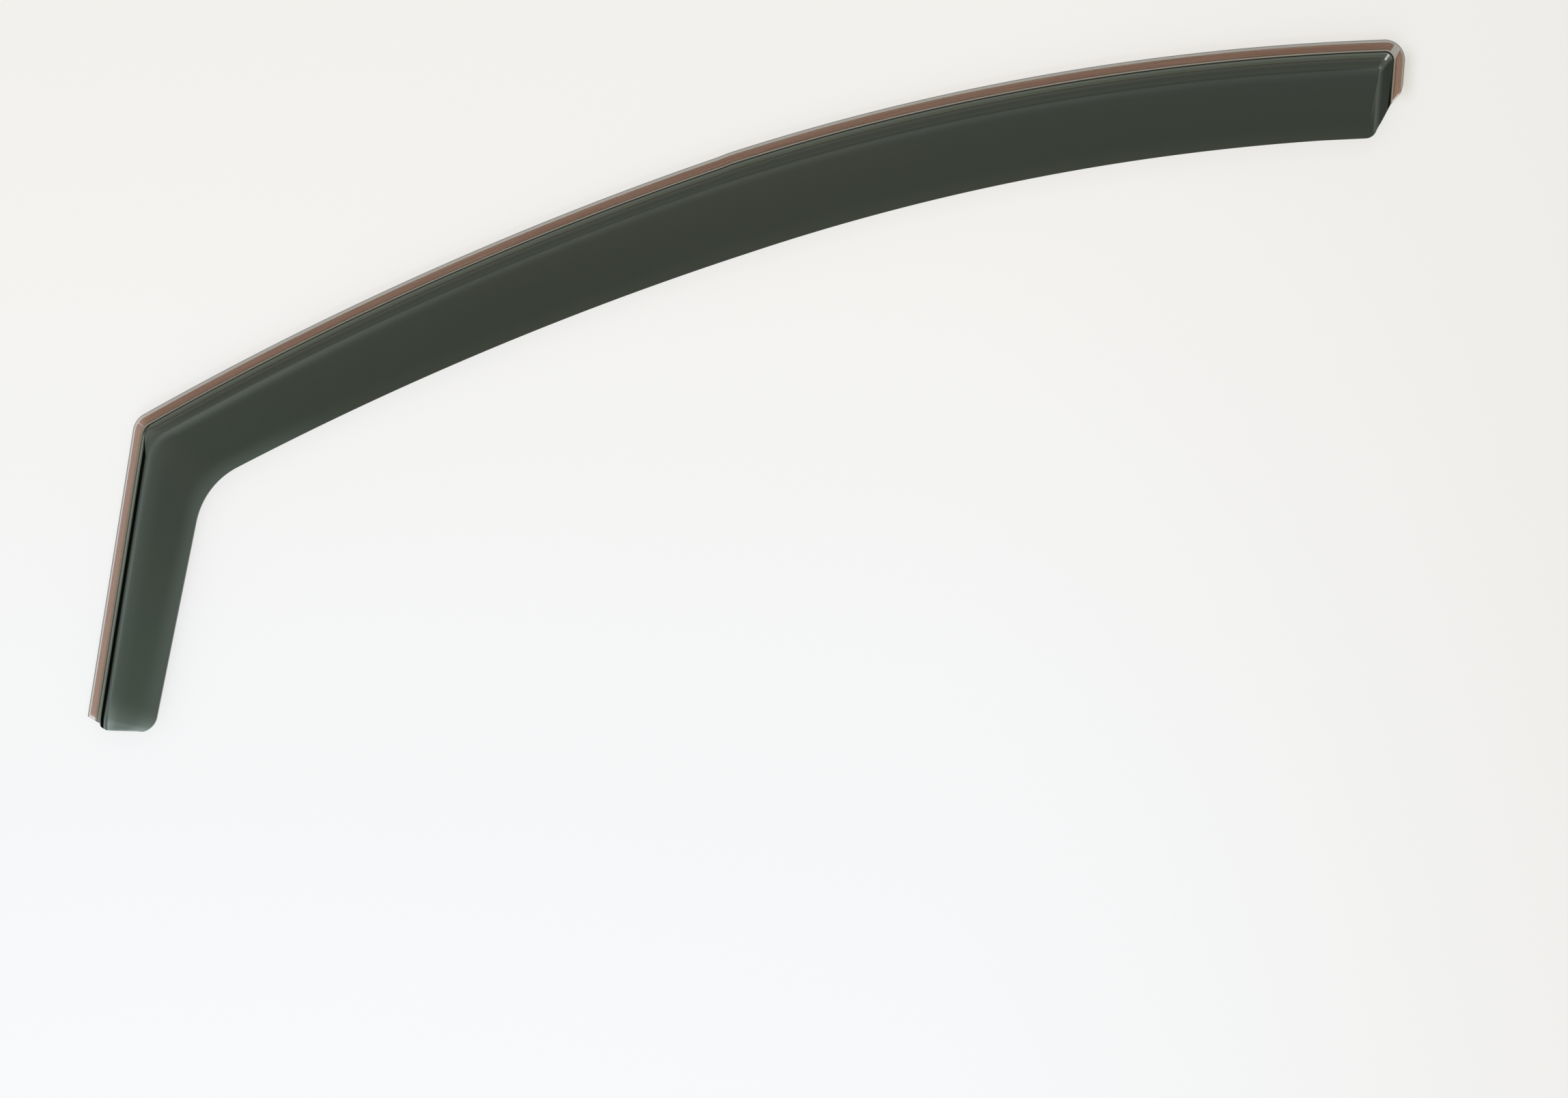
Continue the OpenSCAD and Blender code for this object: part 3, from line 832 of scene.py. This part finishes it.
class Nodes:
    """Short ways to add the nodes of a material or of the world."""

    def __init__(self, owner, shader="Principled BSDF"):
        owner.use_nodes = True
        self.owner = owner
        self.tree = owner.node_tree
        self.shader = self.tree.nodes[shader]

    def put(self, socket, value):
        if isinstance(value, bpy.types.NodeSocket):
            self.tree.links.new(value, socket)
        else:
            socket.default_value = value

    def attribute(self, name):
        node = self.tree.nodes.new("ShaderNodeAttribute")
        node.attribute_name = name
        return node.outputs["Fac"]

    def maths(self, operation, *values):
        node = self.tree.nodes.new("ShaderNodeMath")
        node.operation = operation
        for socket, value in zip(node.inputs, values):
            self.put(socket, value)
        return node.outputs[0]

    def product(self, a, b):
        return self.maths("MULTIPLY", a, b)

    def larger(self, a, b):
        return self.maths("MAXIMUM", a, b)

    def minus(self, a, b):
        return self.maths("SUBTRACT", a, b)

    def between(self, value, start, end, low=0.0, high=1.0):
        """A smooth step from low to high while the value goes from start to end."""
        node = self.tree.nodes.new("ShaderNodeMapRange")
        node.interpolation_type = "SMOOTHSTEP"
        for socket, v in zip(node.inputs, (value, start, end, low, high)):
            self.put(socket, v)
        return node.outputs[0]

    def until(self, value, start, end):
        """1 up to start and 0 from end on, smooth between them."""
        return self.between(value, start, end, 1.0, 0.0)

    def band(self, value, start, end, soft):
        """1 between start and end, 0 outside, with soft sides."""
        return self.product(self.between(value, start - soft, start + soft),
                            self.until(value, end - soft, end + soft))

    def mix(self, factor, a, b):
        node = self.tree.nodes.new("ShaderNodeMix")
        node.data_type = "RGBA"
        node.clamp_factor = True
        self.put(node.inputs["Factor"], factor)
        for socket, value in zip([i for i in node.inputs if i.type == "RGBA"], (a, b)):
            self.put(socket, value if isinstance(value, bpy.types.NodeSocket)
                     else (*value, 1.0))
        return next(o for o in node.outputs if o.type == "RGBA")

    def paint(self, colour, *coats):
        """The colour with each coat, a factor and a colour, laid over it in turn."""
        for factor, coat in coats:
            colour = self.mix(factor, colour, coat)
        return colour

    def blend(self, factor, a, b):
        """A plain number between a and b."""
        node = self.tree.nodes.new("ShaderNodeMix")
        node.clamp_factor = True
        self.put(node.inputs["Factor"], factor)
        self.put(node.inputs["A"], a)
        self.put(node.inputs["B"], b)
        return node.outputs["Result"]

    def vector(self, x, y, z=0.0):
        node = self.tree.nodes.new("ShaderNodeCombineXYZ")
        for socket, value in zip(node.inputs, (x, y, z)):
            self.put(socket, value)
        return node.outputs[0]

    def noise(self, vector, scale, detail, roughness=0.5):
        node = self.tree.nodes.new("ShaderNodeTexNoise")
        self.put(node.inputs["Vector"], vector)
        node.inputs["Scale"].default_value = scale
        node.inputs["Detail"].default_value = detail
        node.inputs["Roughness"].default_value = roughness
        return node.outputs["Fac"]

    def streaks(self, stretch, *noise):
        """Noise that is drawn out along a strip."""
        along, across = stretch
        return self.noise(self.vector(self.product(self.attribute("along"), along),
                                      self.product(self.attribute("across"), across)), *noise)

    def direction(self):
        return self.tree.nodes.new("ShaderNodeTexCoord").outputs["Generated"]

    def dot(self, vector, axis):
        node = self.tree.nodes.new("ShaderNodeVectorMath")
        node.operation = "DOT_PRODUCT"
        self.put(node.inputs[0], vector)
        node.inputs[1].default_value = axis
        return node.outputs["Value"]

    def position(self):
        return self.tree.nodes.new("ShaderNodeTexCoord").outputs["Object"]

    def bump(self, height, distance, strength):
        node = self.tree.nodes.new("ShaderNodeBump")
        node.inputs["Distance"].default_value = distance
        node.inputs["Strength"].default_value = strength
        self.put(node.inputs["Height"], height)
        self.put(self.shader.inputs["Normal"], node.outputs[0])


def sheet_places(n):
    """The parts of the sheet that its painted highlights, reflections, sheens and shade go by.
    The distances across and along and from the outer edge are in millimetres, all else goes
    from 0 to 1."""
    leg = n.attribute("leg")
    along = n.attribute("along")
    elbow = n.attribute("elbow")
    corner = n.attribute("corner")
    closed_end = n.attribute("closed_end")
    return SimpleNamespace(
        across=n.attribute("across"),
        along=along,
        inset=n.attribute("inset"),
        share=n.attribute("panel_share"),
        leg=leg,
        closed_end=closed_end,
        arc=n.until(leg, *ARC_PART),
        at_elbow=n.between(elbow, *ELBOW_PART),
        at_corner=n.between(corner, *CORNER_PART),
        near_corner=n.between(corner, *NEAR_CORNER_PART),
        end=n.between(closed_end, *END_PART),
        tip=n.between(n.attribute("tip"), *TIP_PART),
        leg_top=n.product(leg, n.between(along, *LEG_TOP_LENGTHS)),
        past_elbow=n.product(n.until(leg, *PAST_ELBOW_PART),
                             n.until(along, *CREST_SHEEN_LENGTHS)))


def leg_dark_band(n, p):
    """The dark band of painted shade behind the riser of the leg, which narrows towards the
    elbow.
    """
    on_leg = n.between(p.leg, *LEG_PART)
    at = n.minus(p.across, n.blend(on_leg, *LEG_DARK_START))
    at = n.maths("DIVIDE", at, n.blend(on_leg, *LEG_DARK_WIDTH))
    return n.product(n.band(at, 0.0, 1.0, LEG_DARK_SOFT), n.between(p.leg, *LEG_DARK_PART))


def foot_line_band(n, p):
    """The dark line of painted shade at the foot of the riser, wider in the elbow and in the
    corner.
    """
    at = n.minus(p.across, n.product(p.at_elbow, ELBOW_LINE_SHIFT))
    at = n.maths("DIVIDE", at, n.blend(n.larger(p.at_elbow, p.at_corner), *FOOT_LINE_WIDTHS))
    return n.band(at, *FOOT_LINE_BAND)


def sheet_marks(n, p):
    """Where the flange and each painted highlight, reflection, sheen and shade of the sheet
    lies, as factors from 0 to 1.
    """
    return SimpleNamespace(
        flange=n.until(p.across, *FLANGE_EDGE),
        # Painted reflections on the riser and in the fold
        riser=n.larger(n.band(p.across, *RISER_BAND),
                       n.product(n.band(p.across, *ARC_RISER_BAND), p.arc)),
        fold=n.product(n.band(p.across, *FOLD_BAND), p.arc),
        # A painted reflection in the leg's fold, painted shade behind the leg's riser and at its
        # top
        leg_line=n.product(n.band(p.across, *LEG_LINE_BAND), p.leg),
        leg_dark=leg_dark_band(n, p),
        top_dark=n.product(n.band(p.across, *TOP_DARK_BAND), p.leg_top),
        # Painted highlights along the crests
        leg_crest=n.product(n.band(p.across, *LEG_CREST_BAND),
                            n.between(p.leg, *LEG_CREST_PART)),
        turn_crest=n.product(n.band(p.across, *TURN_CREST_BAND), p.at_elbow),
        elbow_crest=n.product(n.band(p.across, *ELBOW_CREST_BAND), p.past_elbow),
        corner_crest=n.product(n.band(p.across, *CORNER_CREST_BAND), p.near_corner),
        # Painted shade on the closed end's riser, a painted highlight along its crest, painted
        # shade at its tip
        end_riser=n.product(n.band(p.across, *END_RISER_BAND), p.end),
        end_line=n.product(n.band(p.across, *END_LINE_BAND), p.closed_end),
        end_dark=n.product(n.band(p.across, *END_DARK_BAND), p.tip),
        # Painted shade at the foot of the riser
        foot_line=foot_line_band(n, p),
        # A painted glint and a painted highlight spot near the corner
        painted_glint=n.product(n.band(p.closed_end, *GLINT_TURN), n.band(p.across, *GLINT_BAND)),
        highlight_spot=n.product(n.band(p.closed_end, *HIGHLIGHT_SPOT_TURN), n.band(p.across, *HIGHLIGHT_SPOT_BAND)))


def flange_look(n, p):
    """Colour and alpha of the clear flange, with its pale rims beside the tape."""
    tape_edge = n.blend(p.closed_end, n.blend(p.leg, ARC_TAPE_INSET, LEG_TAPE_INSET),
                        END_TAPE_INSET)
    beside_tape = n.minus(p.inset, tape_edge)
    tape_start = n.blend(n.maths("DIVIDE", beside_tape, TAPE_WIDTH),
                         END_STRIP_OUTSIDE / STEPS["corner"],
                         END_STRIP_INSIDE / STEPS["corner"])
    arc_tape_end = CORNER_STRIPS / STEPS["corner"]
    bare = n.product(n.between(p.closed_end, arc_tape_end - BARE_SOFT, arc_tape_end + BARE_SOFT),
                     n.until(n.minus(p.closed_end, tape_start), -2 * BARE_SOFT, 0.0))
    rim = n.larger(bare, n.until(beside_tape, -RIM_OUTSIDE, RIM_INSIDE))
    inner_rim = n.product(
        n.between(beside_tape, TAPE_WIDTH - RIM_INSIDE, TAPE_WIDTH + RIM_OUTSIDE),
        n.minus(1.0, bare))
    outer_line = n.until(p.inset, *OUTER_LINE)
    colour = n.paint(
        FLANGE_COLOUR,
        (rim, n.mix(p.at_elbow, RIM_COLOUR, TURN_RIM_COLOUR)),
        (inner_rim, INNER_RIM_COLOUR),
        (outer_line, OUTER_LINE_COLOUR))
    alpha = n.blend(rim, FLANGE_ALPHA, RIM_ALPHA)
    alpha = n.blend(inner_rim, alpha, INNER_RIM_ALPHA)
    alpha = n.blend(outer_line, alpha, OUTER_LINE_ALPHA)
    return colour, alpha


def panel_look(n, p):
    """Colour of the panel with painted sheen and shade: greener and paler down the leg, palest
    at the foot, paler at the free edge and past the elbow, darker towards the closed end.
    """
    near_foot = n.until(p.along, *NEAR_FOOT_LENGTHS)
    past_elbow = n.product(n.until(p.along, *ELBOW_SHEEN_LENGTHS), n.minus(1.0, p.leg))
    near_leg = n.until(p.along, *NEAR_LEG_LENGTHS)
    free_edge = n.between(p.share, n.blend(near_foot, *FREE_EDGE_STARTS), FREE_EDGE_END)
    crest_side = n.product(n.between(p.share, *LEG_CREST_SIDE), p.leg)
    side = n.larger(free_edge, n.between(p.share, *FOOT_CREST_SIDE))
    # The roll at the foot gets a painted sheen
    roll = n.maths("POWER", n.until(p.along, *FOOT_ROLL_LENGTHS), 2.0)
    return n.paint(
        n.mix(p.leg, PANEL_COLOUR, n.mix(near_foot, LEG_TOP_COLOUR, LEG_SHEEN_COLOUR)),
        (n.between(p.along, *END_FADE_LENGTHS), END_SHADE_COLOUR),
        (past_elbow, ELBOW_SHEEN_COLOUR),
        (free_edge, n.mix(near_leg, EDGE_SHEEN_COLOUR, LEG_EDGE_SHEEN_COLOUR)),
        (crest_side, LEG_EDGE_SHEEN_COLOUR),
        (n.product(roll, n.blend(side, FOOT_MIDDLE_SHARE, 1.0)), FOOT_SHEEN_COLOUR))


def deep_colour(n, p, m):
    """Colour of the sheet inside the flange: riser, crest and panel, with painted highlights,
    reflections, shade and a painted glint.
    """
    cloud = n.product(n.noise(n.position(), CLOUD_SCALE, 2.0), CLOUD_SHARE)
    # Painted reflections on the riser and in the fold, brighter in the elbow and the corner
    riser = n.mix(p.at_elbow, RISER_REFLECTION_COLOUR, TURN_REFLECTION_COLOUR)
    fold = n.mix(p.closed_end, n.mix(p.at_elbow, FOLD_REFLECTION_COLOUR, TURN_FOLD_REFLECTION_COLOUR), RISER_REFLECTION_COLOUR)
    return n.paint(
        panel_look(n, p),
        (cloud, PANEL_CLOUD),
        # Painted highlights along the crests
        (m.elbow_crest, CREST_HIGHLIGHT_COLOUR),
        (m.corner_crest, CORNER_HIGHLIGHT_COLOUR),
        (m.leg_crest, n.mix(p.leg_top, LEG_HIGHLIGHT_COLOUR, TOP_HIGHLIGHT_COLOUR)),
        (m.turn_crest, TURN_HIGHLIGHT_COLOUR),
        (m.riser, n.mix(p.at_corner, riser, CORNER_REFLECTION_COLOUR)),
        (m.fold, n.mix(p.at_corner, fold, CORNER_FOLD_REFLECTION_COLOUR)),
        # Painted shade on the closed end's riser, a painted highlight along its crest, painted
        # shade at its tip and on the leg, and a painted reflection in the leg's fold
        (m.end_riser, END_RISER_SHADE_COLOUR),
        (m.end_line, END_CREST_HIGHLIGHT_COLOUR),
        (m.end_dark, BLACK),
        (m.leg_line, LEG_FOLD_REFLECTION_COLOUR),
        (n.product(m.top_dark, TOP_DARK_SHARE), BLACK),
        (m.leg_dark, BLACK),
        # A painted glint and a painted highlight spot near the corner
        (n.larger(m.painted_glint, n.product(m.highlight_spot, HIGHLIGHT_SPOT_SHARE)), GLINT_WHITE))


def smoke_acrylic():
    """Smoke-green acrylic: nearly clear over the thin flange, deep over the panel."""
    n = Nodes(bpy.data.materials.new("smoke_acrylic"))
    p = sheet_places(n)
    m = sheet_marks(n, p)
    clear_colour, clear_alpha = flange_look(n, p)
    # Over the deep colour lie the clear flange and the painted shade line at the riser's foot
    n.put(n.shader.inputs["Base Color"],
          n.paint(deep_colour(n, p, m), (m.flange, clear_colour),
                  (n.product(m.foot_line, FOOT_LINE_SHARE), FOOT_LINE_SHADE_COLOUR)))

    alpha = n.blend(p.leg, PANEL_ALPHA, LEG_ALPHA)
    alpha = n.blend(n.larger(m.fold, m.leg_line), alpha, FOLD_ALPHA)
    alpha = n.blend(m.leg_dark, alpha, 1.0)
    alpha = n.blend(m.flange, alpha, clear_alpha)
    alpha = n.blend(m.foot_line, alpha, FOOT_ALPHA)
    under_flange = n.product(m.flange, n.attribute("lower_face"))
    n.put(n.shader.inputs["Alpha"], n.blend(under_flange, alpha, UNDER_FLANGE_ALPHA))

    fine = n.noise(n.position(), GLOSS_SCALE, 4.0)
    n.put(n.shader.inputs["Roughness"], n.blend(fine, *GLOSS))
    level = n.blend(n.between(p.share, *CREST_SHINE_FADE), CREST_SHINE, PANEL_SHINE)
    level = n.blend(m.flange, level, FLANGE_SHINE)
    level = n.blend(m.riser, level, RISER_SHINE)
    dull = n.larger(n.larger(m.leg_dark, m.end_riser), m.foot_line)
    n.put(n.shader.inputs["Specular IOR Level"], n.blend(dull, level, 0.0))
    n.shader.inputs["IOR"].default_value = ACRYLIC_IOR
    n.bump(n.noise(n.position(), WAVE_SCALE, 2.0), WAVE_HEIGHT, WAVE_STRENGTH)
    return n.owner


def foam_tape():
    """Foam tape as it shows through the flange: brick red with streaks along its length."""
    n = Nodes(bpy.data.materials.new("foam_tape"))
    light = n.between(n.streaks(TAPE_STRETCH, *TAPE_NOISE), *TAPE_STREAKS)
    middle = n.product(n.band(n.attribute("across"), *TAPE_MIDDLE), TAPE_MIDDLE_SHARE)
    n.put(n.shader.inputs["Base Color"], n.paint(
        n.mix(light, TAPE_DARK, TAPE_LIGHT),
        (middle, TAPE_RED),
        (n.between(n.attribute("leg"), *TAPE_PALE_PART), TAPE_PALE)))
    n.shader.inputs["Roughness"].default_value = TAPE_ROUGHNESS
    n.bump(n.noise(n.position(), FOAM_SCALE, 3.0), FOAM_HEIGHT, FOAM_STRENGTH)
    return n.owner


def release_liner():
    """Thin brick-red film under the tape."""
    n = Nodes(bpy.data.materials.new("release_liner"))
    n.put(n.shader.inputs["Base Color"],
          n.mix(n.streaks(LINER_STRETCH, *LINER_NOISE), LINER_DARK, LINER_LIGHT))
    n.shader.inputs["Roughness"].default_value = LINER_ROUGHNESS
    return n.owner


def beside_closed_end(n):
    """The faint shade on the table along the closed end, inside its corner."""
    corner = (END_CORNER - MIDDLE) * MM
    outside = n.minus(corner @ END_IN, n.dot(n.position(), (*END_IN, 0.0)))
    along = n.minus(n.dot(n.position(), (*END_DIR, 0.0)), corner @ END_DIR)
    return n.product(n.band(outside, *END_SHADE_OUTSIDE), n.band(along, *END_SHADE_ALONG))


def table_top():
    """Pale table with a faint glow of its own: cooler in front, warmer behind, with painted
    shade to the right and a painted shadow beside the closed end."""
    n = Nodes(bpy.data.materials.new("table_top"))
    behind = n.dot(n.position(), TABLE_BEHIND)
    right = n.dot(n.position(), TABLE_RIGHT)
    colour = n.paint(
        n.mix(n.between(behind, *WARM_SPAN), TABLE_COOL, TABLE_WARM),
        (n.between(right, *SHADE_SPAN), TABLE_SHADE),
        (beside_closed_end(n), TABLE_END_SHADOW))
    n.put(n.shader.inputs["Base Color"], n.mix(TABLE_DULL, colour, BLACK))
    n.put(n.shader.inputs["Emission Color"], colour)
    n.shader.inputs["Emission Strength"].default_value = TABLE_GLOW
    n.shader.inputs["Roughness"].default_value = TABLE_ROUGHNESS
    n.shader.inputs["Specular IOR Level"].default_value = TABLE_SHINE
    return n.owner


def add_floor():
    """The table that the piece lies on."""
    mesh = bpy.data.meshes.new("table")
    corners = [(-1, -1), (1, -1), (1, 1), (-1, 1)]
    mesh.from_pydata([(x * FLOOR_REACH, y * FLOOR_REACH, 0) for x, y in corners], [],
                     [(0, 1, 2, 3)])
    floor = bpy.data.objects.new("table", mesh)
    bpy.context.scene.collection.objects.link(floor)
    floor.location.z = FLOOR_HEIGHT
    floor.data.materials.append(table_top())


def sky_direction(azimuth, elevation):
    """Unit vector towards a place over the table."""
    level = math.cos(math.radians(elevation))
    return Vector((level * math.cos(math.radians(azimuth)),
                   level * math.sin(math.radians(azimuth)),
                   math.sin(math.radians(elevation))))


def add_area_light(name, azimuth, elevation, distance, size, power, colour, glossy):
    """A soft square light that looks at the middle of the piece, seen in reflections or not."""
    data = bpy.data.lights.new(name, "AREA")
    data.shape = "RECTANGLE"
    data.size = size[0]
    data.size_y = size[1]
    data.energy = power
    data.color = colour
    light = bpy.data.objects.new(name, data)
    bpy.context.scene.collection.objects.link(light)
    direction = sky_direction(azimuth, elevation)
    light.location = direction * distance
    light.rotation_euler = (-direction).to_track_quat("-Z", "Y").to_euler()
    light.visible_glossy = glossy


def set_world():
    """A pale room, cooler on one side, with soft brighter patches overhead."""
    world = bpy.data.worlds.new("studio")
    bpy.context.scene.world = world
    n = Nodes(world, "Background")
    direction = n.direction()
    side = n.dot(direction, sky_direction(WARM_AZIMUTH, 0))
    n.put(n.shader.inputs["Color"],
          n.mix(n.between(side, -WARM_SIDE, WARM_SIDE), WORLD_COOL, WORLD_WARM))
    strength = WORLD_STRENGTH
    for azimuth, elevation, core, edge, extra in SKY_PATCHES:
        near = n.dot(direction, sky_direction(azimuth, elevation))
        patch = n.between(near, math.cos(math.radians(edge)), math.cos(math.radians(core)),
                          0.0, extra)
        strength = n.maths("ADD", patch, strength)
    n.put(n.shader.inputs["Strength"], strength)


def add_camera():
    """The photo's viewpoint: nearly overhead, a little from the right."""
    data = bpy.data.cameras.new("photo_view")
    data.sensor_fit = "HORIZONTAL"
    data.sensor_width = SENSOR_WIDTH
    data.lens = LENS
    data.clip_start = CLIP_START
    data.clip_end = CLIP_END
    camera = bpy.data.objects.new("photo_view", data)
    bpy.context.scene.collection.objects.link(camera)
    azimuth = math.radians(CAMERA_AZIMUTH)
    back = sky_direction(CAMERA_AZIMUTH, CAMERA_ELEVATION)
    camera.location = Vector(CAMERA_TARGET) * MM + back * CAMERA_DISTANCE * MM
    level = Vector((-math.sin(azimuth), math.cos(azimuth), 0))
    roll = math.radians(CAMERA_ROLL)
    right = level * math.cos(roll) + back.cross(level) * math.sin(roll)
    up = back.cross(right)
    camera.rotation_euler = Matrix((right, up, back)).transposed().to_euler()
    bpy.context.scene.camera = camera


def dress(obj, node, material):
    """Gives a dressed piece its material, hangs it under the root body and hides the CAD node it
    stands for.
    """
    obj.data.materials.append(material)
    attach(obj, "root")
    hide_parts(node)


dress(build_sheet(), "visor_shell", smoke_acrylic())
TAPE_MATERIAL = foam_tape()
for node, strip in build_strips("tape", LINER + TAPE_GAP, FLANGE_BOTTOM - TAPE_GAP).items():
    dress(strip, node, TAPE_MATERIAL)
LINER_MATERIAL = release_liner()
for node, strip in build_strips("liner", 0, LINER).items():
    dress(strip, node, LINER_MATERIAL)

add_floor()
set_world()
add_area_light("window", *KEY_LIGHT, glossy=False)
add_area_light("glint", *GLINT_LIGHT, glossy=True)
add_camera()
bpy.context.scene.view_settings.view_transform = "Standard"
